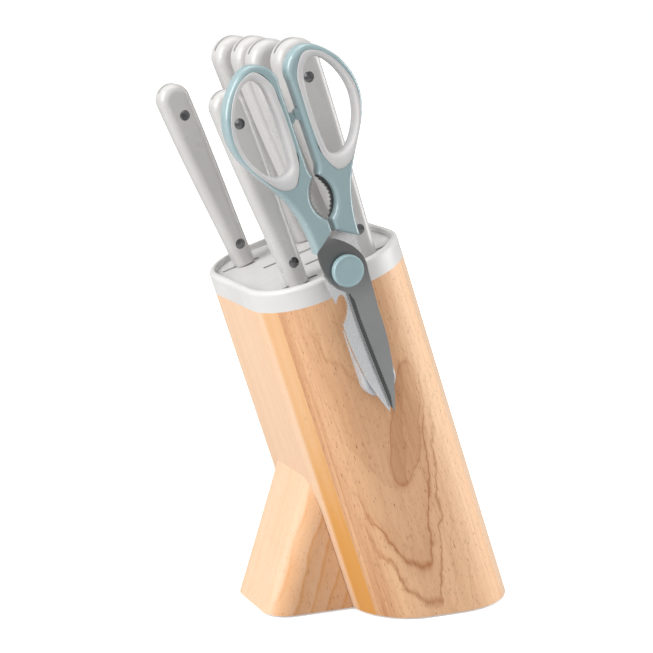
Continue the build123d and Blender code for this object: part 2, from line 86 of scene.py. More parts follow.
def closed_curve(points, count, steps=40):
    """Evenly spaced points on a smooth closed curve through the given ones."""
    size = len(points)
    fine = []
    for i in range(size):
        p0, p1, p2, p3 = (Vector(points[(i + k) % size]) for k in (-1, 0, 1, 2))
        # centripetal spacing keeps the curve from looping between uneven points
        t1 = math.sqrt((p1 - p0).length)
        t2 = t1 + math.sqrt((p2 - p1).length)
        t3 = t2 + math.sqrt((p3 - p2).length)
        for step in range(steps):
            t = t1 + (t2 - t1) * step / steps
            a1 = p0 * ((t1 - t) / t1) + p1 * (t / t1)
            a2 = p1 * ((t2 - t) / (t2 - t1)) + p2 * ((t - t1) / (t2 - t1))
            a3 = p2 * ((t3 - t) / (t3 - t2)) + p3 * ((t - t2) / (t3 - t2))
            b1 = a1 * ((t2 - t) / t2) + a2 * (t / t2)
            b2 = a2 * ((t3 - t) / (t3 - t1)) + a3 * ((t - t1) / (t3 - t1))
            fine.append(b1 * ((t2 - t) / (t2 - t1)) + b2 * ((t - t1) / (t2 - t1)))
    walked = [0.0]
    for i, point in enumerate(fine):
        walked.append(walked[-1] + (fine[(i + 1) % len(fine)] - point).length)
    spaced = []
    k = 0
    for i in range(count):
        goal = walked[-1] * i / count
        while walked[k + 1] < goal:
            k += 1
        part = (goal - walked[k]) / (walked[k + 1] - walked[k])
        spaced.append(fine[k].lerp(fine[(k + 1) % len(fine)], part))
    return spaced


def lathe(profile, centre, axis, turns=72):
    """Verts and faces of a turned piece: profile holds (radius, height along the axis)."""
    axis = axis.normalized()
    side = axis.orthogonal().normalized()
    other = axis.cross(side)
    verts = []
    for radius, height in profile:
        for i in range(turns):
            angle = 2 * math.pi * i / turns
            out = side * math.cos(angle) + other * math.sin(angle)
            verts.append(centre + axis * height + out * radius)
    faces = []
    for row in range(len(profile) - 1):
        for i in range(turns):
            j = (i + 1) % turns
            a, b = row * turns, (row + 1) * turns
            faces.append((a + i, a + j, b + j, b + i))
    first = len(verts)
    verts.append(centre + axis * profile[0][1])
    verts.append(centre + axis * profile[-1][1])
    last_row = (len(profile) - 1) * turns
    for i in range(turns):
        j = (i + 1) % turns
        faces.append((first, j, i))
        faces.append((first + 1, last_row + i, last_row + j))
    return verts, faces


def join_meshes(parts):
    """One list of verts and faces from several."""
    verts, faces = [], []
    for more_verts, more_faces in parts:
        base = len(verts)
        verts.extend(more_verts)
        faces.extend(tuple(base + i for i in face) for face in more_faces)
    return verts, faces


# --- materials --------------------------------------------------------------------

class Wiring:
    """Adds nodes to a tree and links them in one step."""

    def __init__(self, tree):
        self.tree = tree

    def add(self, kind, settings=None, **links):
        node = self.tree.nodes.new(kind)
        for key, value in (settings or {}).items():
            setattr(node, key, value)
        for key, value in links.items():
            self.feed(node, key.replace("_", " "), value)
        return node

    def feed(self, node, key, value):
        """Links or sets a socket, by its name or as "nr 0", "nr 1" and so on."""
        socket = node.inputs[int(key[3:])] if key.startswith("nr ") else node.inputs[key]
        if isinstance(value, bpy.types.NodeSocket):
            self.tree.links.new(value, socket)
        else:
            socket.default_value = value

    def math(self, operation, first, second=0.0, clamp=False):
        node = self.tree.nodes.new("ShaderNodeMath")
        node.operation = operation
        node.use_clamp = clamp
        self.feed(node, "nr 0", first)
        self.feed(node, "nr 1", second)
        return node.outputs[0]

    def product(self, first, second):
        return self.math("MULTIPLY", first, second)

    def swing(self, value, amount):
        """A 0 to 1 value turned into one that swings evenly to both sides of zero."""
        return self.product(self.math("SUBTRACT", value, 0.5), amount)

    def stretch(self, vector, factors):
        node = self.add("ShaderNodeVectorMath", {"operation": "MULTIPLY"}, nr_0=vector, nr_1=factors)
        return node.outputs[0]

    def noise(self, vector, scale, detail=2.0, roughness=0.5, distortion=0.0):
        node = self.add("ShaderNodeTexNoise", None, Vector=vector)
        for key, value in (("Scale", scale), ("Detail", detail), ("Roughness", roughness)):
            self.feed(node, key, value)
        node.inputs["Distortion"].default_value = distortion
        return node.outputs["Fac"]

    def ramp(self, value, stops):
        """Tones between 0 and 1 at the given positions, and straight lines between them."""
        node = self.tree.nodes.new("ShaderNodeValToRGB")
        ramp = node.color_ramp
        while len(ramp.elements) < len(stops):
            ramp.elements.new(0.5)
        for element, (position, tone) in zip(ramp.elements, stops):
            element.position = position
            element.color = (tone, tone, tone, 1.0)
        self.tree.links.new(value, node.inputs["Fac"])
        return node.outputs["Color"]

    def mix(self, factor, first, second, blend="MIX"):
        node = self.tree.nodes.new("ShaderNodeMix")
        node.data_type = "RGBA"
        node.blend_type = blend
        for index, value in ((0, factor), (6, first), (7, second)):
            self.feed(node, f"nr {index}", value)
        return node.outputs[2]

    def span(self, value, low, high, to_low=0.0, to_high=1.0, smooth=True):
        node = self.tree.nodes.new("ShaderNodeMapRange")
        node.interpolation_type = "SMOOTHSTEP" if smooth else "LINEAR"
        for index, number in enumerate((value, low, high, to_low, to_high)):
            self.feed(node, f"nr {index}", number)
        return node.outputs["Result"]


def new_group(name, inputs, outputs):
    """An empty shader node group with named sockets: (name, kind, default)."""
    group = bpy.data.node_groups.new(name, "ShaderNodeTree")
    for label, kind, default in inputs:
        socket = group.interface.new_socket(label, in_out="INPUT", socket_type=kind)
        if default is not None:
            socket.default_value = default
    for label, kind in outputs:
        group.interface.new_socket(label, in_out="OUTPUT", socket_type=kind)
    return group, Wiring(group)


def rgb(red, green, blue):
    """Linear colour from display values between 0 and 255."""
    values = []
    for channel in (red, green, blue):
        c = channel / 255.0
        values.append(c / 12.92 if c <= 0.04045 else ((c + 0.055) / 1.055) ** 2.4)
    return tuple(values)


def build_block_axes():
    """Object coordinates turned into the leaning block's own axes, in centimetres."""
    group, w = new_group(
        "block_axes", [], [("Vector", "NodeSocketVector"), ("Wide", "NodeSocketFloat"),
                           ("Deep", "NodeSocketFloat"), ("High", "NodeSocketFloat")],
    )
    coords = w.add("ShaderNodeTexCoord").outputs["Object"]
    turned = w.add("ShaderNodeVectorRotate", {"rotation_type": "X_AXIS"}, Vector=coords, Angle=-LEAN)
    scaled = w.add("ShaderNodeVectorMath", {"operation": "SCALE"}, nr_0=turned.outputs[0], Scale=100.0)
    parts = w.add("ShaderNodeSeparateXYZ", None, Vector=scaled.outputs[0])
    out = w.add("NodeGroupOutput")
    w.feed(out, "Vector", scaled.outputs[0])
    for label, socket in (("Wide", "X"), ("Deep", "Y"), ("High", "Z")):
        w.feed(out, label, parts.outputs[socket])
    return group


PORE_STAIN = (0.34, 0.22, 0.15, 1.0)


def build_wood_surface():
    """Fibres, pores and tone of pale hardwood, on top of a figure tone between 0 and 1.

    The vector is in centimetres with the grain along Z."""
    group, w = new_group(
        "wood_surface",
        [("Vector", "NodeSocketVector", None), ("Figure", "NodeSocketFloat", 0.0),
         ("Light", "NodeSocketColor", (0.8, 0.6, 0.4, 1)), ("Dark", "NodeSocketColor", (0.5, 0.3, 0.15, 1)),
         ("Fleck", "NodeSocketFloat", 0.5), ("Streak", "NodeSocketFloat", 0.3)],
        [("Color", "NodeSocketColor"), ("Roughness", "NodeSocketFloat"), ("Height", "NodeSocketFloat")],
    )
    given = w.add("NodeGroupInput").outputs
    vector = given["Vector"]
    wander = w.noise(w.stretch(vector, (0.5, 0.5, 0.12)), 1.0, 2.0)
    # long soft streaks along the grain
    streaks = w.noise(w.stretch(vector, (3.2, 3.2, 0.10)), 1.0, 4.0, 0.62, 0.3)
    fibres = w.noise(w.stretch(vector, (26.0, 26.0, 1.1)), 1.0, 3.0, 0.6)
    # short dark pores along the grain
    pores = w.noise(w.stretch(vector, (26.0, 26.0, 2.6)), 1.0, 1.0, 0.4)
    pore_mask = w.span(pores, 0.66, 0.76)
    short = w.noise(w.stretch(vector, (9.0, 9.0, 1.6)), 1.0, 2.0, 0.5)
    short_mask = w.span(short, 0.66, 0.78)
    tone = w.math("ADD", given["Figure"], w.swing(streaks, given["Streak"]))
    tone = w.math("ADD", tone, w.swing(wander, 0.22))
    tone = w.math("ADD", tone, w.swing(fibres, 0.42), clamp=True)
    colour = w.mix(tone, given["Light"], given["Dark"])
    pore_colour = w.mix(0.75, given["Dark"], PORE_STAIN, "MULTIPLY")
    marks = w.product(w.math("MAXIMUM", pore_mask, w.product(short_mask, 0.20)), given["Fleck"])
    colour = w.mix(marks, colour, pore_colour)
    out = w.add("NodeGroupOutput")
    w.feed(out, "Color", colour)
    w.feed(out, "Roughness", w.span(w.math("ADD", fibres, marks), 0.2, 1.2, 0.42, 0.62, smooth=False))
    w.feed(out, "Height", w.math("SUBTRACT", w.product(fibres, 0.35), marks))
    return group


def build_moulded():
    """Very fine texture and faint tone changes of a moulded plastic surface."""
    group, w = new_group(
        "moulded_surface",
        [("Tint", "NodeSocketColor", (0.8, 0.8, 0.8, 1)), ("Shade", "NodeSocketColor", (0.7, 0.7, 0.7, 1)),
         ("Gloss low", "NodeSocketFloat", 0.3), ("Gloss high", "NodeSocketFloat", 0.45)],
        [("Color", "NodeSocketColor"), ("Roughness", "NodeSocketFloat"), ("Height", "NodeSocketFloat")],
    )
    given = w.add("NodeGroupInput").outputs
    coords = w.add("ShaderNodeTexCoord").outputs["Object"]
    clouds = w.noise(coords, 45.0, 3.0, 0.5)
    smudge = w.noise(coords, 90.0, 2.0, 0.4)
    grain = w.noise(coords, 2600.0, 2.0, 0.6)
    colour = w.mix(w.span(clouds, 0.35, 0.7), given["Tint"], given["Shade"])
    rough = w.span(smudge, 0.3, 0.7, given["Gloss low"], given["Gloss high"], smooth=False)
    out = w.add("NodeGroupOutput")
    w.feed(out, "Color", colour)
    w.feed(out, "Roughness", rough)
    w.feed(out, "Height", grain)
    return group


def build_ground_steel():
    """Fine straight grinding lines along a chosen direction."""
    group, w = new_group(
        "ground_steel",
        [("Lines", "NodeSocketVector", None), ("Bright", "NodeSocketColor", (0.7, 0.7, 0.7, 1)),
         ("Dull", "NodeSocketColor", (0.5, 0.5, 0.5, 1)), ("Rough", "NodeSocketFloat", 0.3)],
        [("Color", "NodeSocketColor"), ("Roughness", "NodeSocketFloat"), ("Height", "NodeSocketFloat")],
    )
    given = w.add("NodeGroupInput").outputs
    coords = w.add("ShaderNodeTexCoord").outputs["Object"]
    lines = w.noise(w.stretch(coords, given["Lines"]), 1.0, 3.0, 0.6)
    clouds = w.noise(coords, 60.0, 2.0, 0.45)
    mixed = w.math("ADD", w.product(lines, 0.75), w.product(clouds, 0.25))
    out = w.add("NodeGroupOutput")
    w.feed(out, "Color", w.mix(w.span(mixed, 0.35, 0.65), given["Bright"], given["Dull"]))
    spread = w.span(mixed, 0.3, 0.7, -0.03, 0.05, smooth=False)
    w.feed(out, "Roughness", w.math("ADD", given["Rough"], spread, clamp=True))
    w.feed(out, "Height", lines)
    return group


def build_grain_stripes():
    """Long stripes of straight grain, between 0 and 1."""
    group, w = new_group(
        "grain_stripes",
        [("Vector", "NodeSocketVector", None), ("Spacing", "NodeSocketVector", None),
         ("Detail", "NodeSocketFloat", 4.0), ("Roughness", "NodeSocketFloat", 0.55)],
        [("Stripe", "NodeSocketFloat")],
    )
    given = w.add("NodeGroupInput").outputs
    spaced = w.stretch(given["Vector"], given["Spacing"])
    w.feed(w.add("NodeGroupOutput"), "Stripe", w.noise(spaced, 1.0, given["Detail"], given["Roughness"]))
    return group


def build_scissor_tones():
    """Steel that changes tone in the shank above the pivot, and again at the cracker's teeth."""
    group, w = new_group(
        "scissor_tones",
        [("Blade", "NodeSocketColor", None), ("Shank", "NodeSocketColor", None),
         ("Teeth", "NodeSocketColor", None), ("High", "NodeSocketFloat", None)],
        [("Color", "NodeSocketColor")],
    )
    given = w.add("NodeGroupInput").outputs
    shank_start, shank_end, teeth_start, teeth_end = SCISSOR_TONE_HEIGHTS
    colour = w.mix(w.span(given["High"], shank_start, shank_end), given["Blade"], given["Shank"])
    colour = w.mix(w.span(given["High"], teeth_start, teeth_end), colour, given["Teeth"])
    w.feed(w.add("NodeGroupOutput"), "Color", colour)
    return group


SCISSOR_TONE_HEIGHTS = (21.0, 23.6, 24.8, 25.8)    # centimetres along the block
BLOCK_AXES = build_block_axes()
WOOD_SURFACE = build_wood_surface()
GRAIN_STRIPES = build_grain_stripes()
MOULDED = build_moulded()
GROUND_STEEL = build_ground_steel()
SCISSOR_TONES = build_scissor_tones()


def start_material(name):
    """A new material with its wiring and its shader."""
    material = bpy.data.materials.new(name)
    material.use_nodes = True
    nodes = material.node_tree.nodes
    return material, Wiring(material.node_tree), nodes["Principled BSDF"]


def place_group(w, group, **values):
    """A group in a material, with its inputs linked or set; colours are given as three numbers."""
    node = w.add("ShaderNodeGroup", {"node_tree": group})
    for key, value in values.items():
        key = key.replace("_", " ")
        colour = node.inputs[key].type == "RGBA" and isinstance(value, tuple)
        w.feed(node, key, (*value, 1.0) if colour else value)
    return node


def connect_surface(w, shader, surface, bump_distance, bump_strength=1.0):
    """Feeds a group's colour, roughness and height to the shader."""
    w.feed(shader, "Base Color", surface.outputs["Color"])
    w.feed(shader, "Roughness", surface.outputs["Roughness"])
    bump = w.add("ShaderNodeBump", None, Height=surface.outputs["Height"])
    bump.inputs["Distance"].default_value = bump_distance
    bump.inputs["Strength"].default_value = bump_strength
    w.feed(shader, "Normal", bump.outputs[0])


def wood_shader(name, light, dark, fleck, streak, figure_of):
    """Wood in the block's own axes; figure_of(w, axes) gives the tone of the figure."""
    material, w, shader = start_material(name)
    axes = place_group(w, BLOCK_AXES).outputs
    surface = place_group(w, WOOD_SURFACE, Vector=axes["Vector"], Light=light, Dark=dark, Fleck=fleck,
                          Streak=streak, Figure=figure_of(w, axes))
    connect_surface(w, shader, surface, 0.00012, 0.7)
    shader.inputs["Specular IOR Level"].default_value = 0.32
    shader.inputs["Coat Weight"].default_value = 0.06
    shader.inputs["Coat Roughness"].default_value = 0.35
    return material


def cathedral(w, axes, centre, front_rise, rear_rise):
    """Height of a nested arch figure: level lines are arches that open upwards."""
    wobble = w.noise(w.stretch(axes["Vector"], (0.9, 0.9, 0.55)), 1.0, 3.0, 0.55)
    offset = w.math("ADD", w.math("SUBTRACT", axes["Deep"], centre), w.swing(wobble, 1.3))
    to_front = w.math("MAXIMUM", w.product(offset, -1.0), 0.0)
    to_rear = w.math("MAXIMUM", offset, 0.0)
    front = w.product(w.math("POWER", to_front, 2.3), front_rise)
    rear = w.product(w.math("POWER", to_rear, 1.08), rear_rise)
    arch = w.math("SUBTRACT", axes["High"], w.math("ADD", front, rear))
    fine = w.noise(w.stretch(axes["Vector"], (5.0, 5.0, 1.2)), 1.0, 2.0, 0.5)
    return w.math("ADD", arch, w.swing(fine, 0.45))


def stripes(w, axes, spacing, detail=4.0, roughness=0.55):
    """Straight grain along the block, with its own spacing."""
    group = place_group(w, GRAIN_STRIPES, Vector=axes["Vector"], Spacing=spacing, Detail=detail,
                        Roughness=roughness)
    return group.outputs["Stripe"]


# tones of the arches on the right board: height in centimetres, tone
ARCH_LOW, ARCH_HIGH = -12.0, 24.0
ARCH_TONES = [
    (-12.0, 0.16), (-7.0, 0.20), (-6.6, 0.42), (-6.2, 0.18), (-2.0, 0.20), (-1.6, 0.36),
    (-1.3, 0.20), (0.7, 0.20), (1.25, 0.82), (1.7, 0.32), (2.6, 0.28), (3.3, 0.42),
    (3.75, 0.95), (4.15, 0.46), (6.3, 0.38), (8.8, 0.40), (9.2, 0.56), (9.5, 0.50),
    (13.0, 0.50), (15.5, 0.46), (15.9, 0.62), (16.3, 0.42), (20.0, 0.40), (24.0, 0.36),
]
# a long darker patch: its middle (deep, high), half sizes and tilt as a direction
PATCH_MIDDLE = (0.60, 12.7)
PATCH_HALF = (0.95, 3.7)
PATCH_TILT = (0.305, 0.952)
PATCH_TONES = [(0.0, 0.20), (0.30, 0.18), (0.43, 0.22), (0.50, 0.38), (0.57, 0.08), (0.75, 0.0)]


def dark_patch(w, axes):
    """A long darker patch that leans towards the rear, with a thin outline."""
    wobble = w.noise(w.stretch(axes["Vector"], (0.8, 0.8, 0.5)), 1.0, 3.0, 0.55)
    deep = w.math("ADD", w.math("SUBTRACT", axes["Deep"], PATCH_MIDDLE[0]), w.swing(wobble, 0.9))
    high = w.math("SUBTRACT", axes["High"], PATCH_MIDDLE[1])
    sine, cosine = PATCH_TILT
    across = w.math("SUBTRACT", w.product(deep, cosine), w.product(high, sine))
    along = w.math("ADD", w.product(deep, sine), w.product(high, cosine))
    across = w.math("ABSOLUTE", w.math("DIVIDE", across, PATCH_HALF[0]))
    along = w.math("ABSOLUTE", w.math("DIVIDE", along, PATCH_HALF[1]))
    away = w.math("ADD", w.math("POWER", across, 2.0), w.math("POWER", along, 2.4))
    return w.ramp(w.product(away, 0.5), PATCH_TONES)


# where the right board's figure changes from one kind to the next, as depths in centimetres
STRAIGHT_GRAIN = (-2.6, -4.1)
FRONT_EDGE = (-3.95, -4.3)
PALE_REAR = (1.4, 3.4)


def right_board_figure(w, axes):
    """Straight brown grain towards the front, arches in the middle, pale towards the rear."""
    arch = cathedral(w, axes, centre=-0.55, front_rise=0.47, rear_rise=3.4)
    level = w.span(arch, ARCH_LOW, ARCH_HIGH, smooth=False)
    reach = ARCH_HIGH - ARCH_LOW
    arches = w.ramp(level, [((height - ARCH_LOW) / reach, tone) for height, tone in ARCH_TONES])
    arches = w.math("ADD", arches, dark_patch(w, axes))
    stripe = stripes(w, axes, (3.4, 3.4, 0.04), 3.0, 0.6)
    edge = w.span(axes["Deep"], *FRONT_EDGE)
    straight = w.math("ADD", w.span(stripe, 0.35, 0.7, 0.34, 0.82), w.product(edge, 0.12))
    tone = w.mix(w.span(axes["Deep"], *STRAIGHT_GRAIN), arches, straight)
    return w.mix(w.span(axes["Deep"], *PALE_REAR), tone, w.span(stripe, 0.35, 0.75, 0.02, 0.24))


QUIET_SPACING = (1.7, 1.7, 0.03)
SIDE_STRIPS = (3.75, 4.25)          # from the middle, in centimetres


def plain_figure(w, axes):
    """Quiet quarter-sawn boards: faint stripes along the grain."""
    return w.span(stripes(w, axes, QUIET_SPACING), 0.3, 0.75, 0.0, 0.34)


def front_board_figure(w, axes):
    """Pale in the middle, a honey-coloured strip at each rounded side, deeper lower down."""
    band = w.span(w.math("ABSOLUTE", axes["Wide"]), *SIDE_STRIPS)
    lower = w.span(axes["High"], 19.0, 4.0, 0.42, 1.0)
    faint = w.span(stripes(w, axes, QUIET_SPACING), 0.3, 0.75, 0.0, 0.20)
    return w.math("ADD", faint, w.product(band, lower))


# square to the foot's front face, so that the rings run along it
FOOT_RING_DIRECTION = (-95.1, 30.7)
FOOT_RING_TONES = [(0.0, 0.40), (0.35, 0.52), (0.70, 0.60), (0.84, 0.92), (0.92, 0.62), (1.0, 0.40)]


def foot_figure(w, axes):
    """Slanted growth rings that show on the foot's two triangular sides."""
    place = w.add("ShaderNodeTexCoord").outputs
    parts = w.add("ShaderNodeSeparateXYZ", None, Vector=place["Object"]).outputs
    to_front, up = FOOT_RING_DIRECTION
    slant = w.math("ADD", w.product(parts["Y"], to_front), w.product(parts["Z"], up))
    wobble = w.noise(place["Object"], 30.0, 3.0, 0.5)
    slant = w.math("ADD", slant, w.product(wobble, 0.9))
    rings = w.ramp(w.math("FRACT", w.product(slant, 0.95)), FOOT_RING_TONES)
    facing = w.add("ShaderNodeSeparateXYZ", None, Vector=place["Normal"]).outputs["X"]
    side = w.span(w.math("ABSOLUTE", facing), 0.35, 0.8)
    fibres = w.noise(w.stretch(place["Object"], (260.0, 30.0, 9.0)), 1.0, 3.0, 0.6)
    return w.mix(side, w.span(fibres, 0.35, 0.7, 0.0, 0.16), rings)


# tones of the wood
PEACH = rgb(220, 187, 157)
PEACH_DARK = rgb(204, 158, 116)
HONEY_DARK = rgb(204, 146, 76)
TAN = rgb(235, 193, 152)
TAN_DARK = rgb(172, 113, 71)
FOOT_DARK = rgb(206, 146, 88)


def plastic(name, tint, shade, gloss, bump=0.00001, coat=0.0, coat_rough=0.1, subsurface=0.0):
    """Moulded plastic; gloss is its lowest and highest roughness."""
    material, w, shader = start_material(name)
    surface = place_group(w, MOULDED, Tint=tint, Shade=shade, Gloss_low=gloss[0], Gloss_high=gloss[1])
    connect_surface(w, shader, surface, bump, 0.5)
    shader.inputs["Coat Weight"].default_value = coat
    shader.inputs["Coat Roughness"].default_value = coat_rough
    if subsurface:
        shader.inputs["Subsurface Weight"].default_value = subsurface
        shader.inputs["Subsurface Scale"].default_value = 0.002
    return material


def steel(name, bright, dull, rough, lines):
    """Steel with fine grinding lines."""
    material, w, shader = start_material(name)
    surface = place_group(w, GROUND_STEEL, Bright=bright, Dull=dull, Rough=rough, Lines=lines)
    connect_surface(w, shader, surface, 0.000004, 0.6)
    shader.inputs["Metallic"].default_value = 1.0
    return material


def rubber(name, colour, pale):
    """Dark matt rubber or ferrite with a fine texture."""
    material, w, shader = start_material(name)
    surface = place_group(w, MOULDED, Tint=colour, Shade=pale, Gloss_low=0.7, Gloss_high=0.85)
    connect_surface(w, shader, surface, 0.00004, 1.0)
    return material


def scissor_steel(name, blade, blade_dull, shank, teeth, rough):
    """Satin steel with its own tones for the blade, the shank and the cracker's teeth."""
    material, w, shader = start_material(name)
    surface = place_group(w, GROUND_STEEL, Bright=blade, Dull=blade_dull, Rough=rough, Lines=SCISSOR_LINES)
    axes = place_group(w, BLOCK_AXES).outputs
    tones = place_group(w, SCISSOR_TONES, Blade=surface.outputs["Color"], Shank=shank, Teeth=teeth,
                        High=axes["High"])
    connect_surface(w, shader, surface, 0.000001, 0.3)
    w.feed(shader, "Base Color", tones.outputs["Color"])
    shader.inputs["Metallic"].default_value = 1.0
    return material


def grey(value):
    """Linear grey from one display value between 0 and 255."""
    return rgb(value, value, value)


# how finely the grinding lines lie along X, Y and Z
SCISSOR_LINES = (900.0, 3600.0, 1300.0)
KNIFE_LINES = (300.0, 3200.0, 260.0)
EVEN_LINES = (900.0, 900.0, 900.0)
COARSE_LINES = (500.0, 500.0, 500.0)

WOOD_RIGHT = wood_shader("wood_figured_side", TAN, TAN_DARK, 0.85, 0.42, right_board_figure)
WOOD_LEFT = wood_shader("wood_plain_side", TAN, TAN_DARK, 0.75, 0.40, plain_figure)
WOOD_FRONT = wood_shader("wood_front", PEACH, HONEY_DARK, 0.35, 0.16, front_board_figure)
WOOD_REAR = wood_shader("wood_rear", PEACH, PEACH_DARK, 0.45, 0.22, plain_figure)
WOOD_FOOT = wood_shader("wood_foot", PEACH, FOOT_DARK, 0.75, 0.30, foot_figure)
CAP_WHITE = plastic("cap_white", rgb(202, 201, 200), rgb(197, 196, 195), (0.34, 0.42), coat=0.1,
                    coat_rough=0.25)
HANDLE_WHITE = plastic("handle_white", rgb(188, 186, 184), rgb(185, 183, 181), (0.26, 0.34), bump=0.000004,
                       coat=0.2, coat_rough=0.28)
PAD_WHITE = plastic("pad_translucent", rgb(176, 179, 182), rgb(168, 172, 175), (0.22, 0.30), subsurface=0.3)
SHELL_BLUE = plastic("shell_blue_grey", rgb(145, 166, 169), rgb(140, 162, 166), (0.20, 0.28), coat=0.5,
                     coat_rough=0.08)
PIVOT_BLUE = plastic("pivot_blue_grey", rgb(146, 170, 174), rgb(141, 166, 171), (0.32, 0.42))
LINING = plastic("lining_soft_white", rgb(198, 197, 197), rgb(191, 190, 191), (0.48, 0.58), bump=0.00003,
                 subsurface=0.1)
SHEET_BLACK = rubber("non_slip_black", grey(46), grey(60))
# the steel of the rivets, pivot pin and washer is darker than bare steel: a painted reflection of dark
# surroundings, which the white studio doesn't give
RIVET_STEEL = steel("rivet_polished_steel", rgb(136, 136, 138), rgb(118, 118, 120), 0.14, EVEN_LINES)
BLADE_STEEL = steel("blade_satin_steel", rgb(206, 207, 209), rgb(184, 186, 188), 0.28, KNIFE_LINES)
PLATED = steel("plated_steel", rgb(190, 188, 180), rgb(160, 158, 150), 0.35, COARSE_LINES)
FERRITE = rubber("magnet_ferrite", rgb(52, 52, 54), rgb(70, 70, 72))
FRONT_STEEL = scissor_steel("scissor_satin_steel", rgb(166, 167, 167), rgb(154, 155, 155), grey(122),
                            grey(160), 0.36)
REAR_STEEL = scissor_steel("scissor_bright_steel", rgb(232, 233, 234), rgb(220, 221, 223), grey(246),
                           grey(92), 0.26)
BEVEL_STEEL = steel("scissor_bevel_steel", grey(104), grey(84), 0.4, SCISSOR_LINES)

# the model's own nodes that get each finish
FINISHES = [
    (WOOD_RIGHT, ["board_right"]),
    (WOOD_LEFT, ["board_left"]),
    (WOOD_FRONT, ["board_front"]),
    (WOOD_REAR, ["board_rear", "floor_board"]),
    (WOOD_FOOT, ["wedge_foot"]),
    (SHEET_BLACK, ["base_sheet", "wedge_sheet"]),
    (CAP_WHITE, ["cap"]),
    (PAD_WHITE, ["magnet_pad_cover"]),
    (PLATED, ["magnet_keeper", "magnet_pad_screws", "wedge_screws"]),
    (FERRITE, ["magnets"]),
    (SHELL_BLUE, ["scissors_rear_handle", "scissors_front_handle"]),
    (LINING, ["scissors_rear_lining", "scissors_front_lining"]),
    (REAR_STEEL, ["scissors_rear_blade"]),
    (FRONT_STEEL, ["scissors_front_blade"]),
    (RIVET_STEEL, ["scissors_pivot_pin", "scissors_washer"] + [f"{knife}_rivets" for knife in KNIVES]),
    (PIVOT_BLUE, ["scissors_pivot_cap"]),
    (BLADE_STEEL, [f"{knife}_blade" for knife in KNIVES]),
    (HANDLE_WHITE, [f"{knife}_scale_{side}" for knife in KNIVES for side in ("right", "left")]),
]


def dress_nodes():
    """Gives each of the model's own nodes its finished material."""
    for material, nodes in FINISHES:
        for node in nodes:
            slots = frame["nodes"][node].data.materials
            slots.clear()
            slots.append(material)


# --- rivets -----------------------------------------------------------------------

def rivet_centres(knife):
    """Middle of each of a knife's two rivets, from the model's own rivets."""
    out = Vector(JOINTS[f"{knife}_draw"]["axis"])
    points = [v.co.copy() for v in frame["nodes"][f"{knife}_rivets"].data.vertices]
    middle = sum(p.dot(out) for p in points) / len(points)
    centres = []
    for upper in (False, True):
        group = [p for p in points if (p.dot(out) > middle) == upper]
        low = [min(p[k] for p in group) for k in range(3)]
        high = [max(p[k] for p in group) for k in range(3)]
        centres.append(Vector([(a + b) / 2 for a, b in zip(low, high)]))
    return centres


RIVET_RADIUS = 3.2 * MM
# domed head from its middle outwards: share of the radius, height over the rivet's end in millimetres
RIVET_HEAD = [
    (0.10, 0.0), (0.35, -0.04), (0.60, -0.12), (0.80, -0.215), (0.93, -0.30), (0.985, -0.38), (0.99, -0.46),
]


def domed_rivets(knife):
    """Rivets with low domed heads on both sides of the handle."""
    low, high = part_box(f"{knife}_rivets")
    half = (high[0] - low[0]) / 2
    top = [(RIVET_RADIUS * share, half + height * MM) for share, height in RIVET_HEAD]
    bottom = [(r, -h) for r, h in top]
    verts, faces = join_meshes([lathe(bottom + top[::-1], centre, OUT) for centre in rivet_centres(knife)])
    add_piece(f"{knife}_domed_rivets", verts, faces, RIVET_STEEL, f"{knife}_knife",
              (f"{knife}_rivets",))


# --- scissors ---------------------------------------------------------------------

SCISSOR_LEAN = LEAN + math.radians(1.0)
PIVOT = Vector(JOINTS["scissors_open"]["pos_m"])
BLADES_ACROSS = Vector((0.0, math.cos(SCISSOR_LEAN), math.sin(SCISSOR_LEAN)))
BLADES_UP = Vector((0.0, -math.sin(SCISSOR_LEAN), math.cos(SCISSOR_LEAN)))


def scissor_point(x, across, along):
    """A point from its X in metres and its place in the scissors' own plane in millimetres."""
    place = PIVOT + (BLADES_ACROSS * across + BLADES_UP * along) * MM
    return Vector((x, place.y, place.z))


# share of the way from the socket to the hole, and depth below the front, in millimetres
LINING_RIM = [
    (0.0, 1.6), (0.0, 0.55), (0.03, 0.25), (0.10, 0.05), (0.30, 0.0), (0.52, 0.05), (0.70, 0.30),
    (0.84, 0.85), (0.94, 1.7), (0.985, 2.7), (1.0, 4.0),
]
LINING_MARGIN = 0.02 * MM


def loop_outline(points, side, start, count):
    """Outline of one loop on its own side, beginning at the point nearest to start."""
    curve = closed_curve([(side * across, along) for across, along in points], count)
    begin = Vector((side * start[0], start[1]))
    first = min(range(count), key=lambda i: (curve[i] - begin).length)
    return curve[first:] + curve[:first]


def lining(name, side, count=200):
    """Soft lining of one loop: a crowned rim that rolls over into the finger hole."""
    low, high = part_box(f"scissors_{name}_lining")
    socket = loop_outline(SOCKET, side, (6.7, 90.0), count)
    hole = loop_outline(HOLE, side, (10.7, 90.0), count)
    middle = (low[0] + high[0]) / 2
    half = (high[0] - low[0]) / 2 - LINING_MARGIN
    rows = [(share, half - depth * MM) for share, depth in LINING_RIM]
    rows += [(share, -x) for share, x in reversed(rows)]
    verts = []
    for share, x in rows:
        for i in range(count):
            place = socket[i].lerp(hole[i], share)
            verts.append(scissor_point(middle + x, place.x, place.y))
    faces = []
    for row in range(len(rows)):
        for i in range(count):
            j = (i + 1) % count
            a, b = row * count, ((row + 1) % len(rows)) * count
            face = (a + i, a + j, b + j, b + i)
            faces.append(face[::-1] if side > 0 else face)
    add_piece(f"scissors_{name}_soft_lining", verts, faces, LINING, f"scissors_{name}",
              (f"scissors_{name}_lining",))


# the bevel in millimetres: where it starts below the pivot, its length, width and serrations
BEVEL_START = -13.5
BEVEL_LENGTH = 74.0
BEVEL_WIDTH = 1.9
BEVEL_SERRATION = 0.6
BEVEL_STEPS = 96
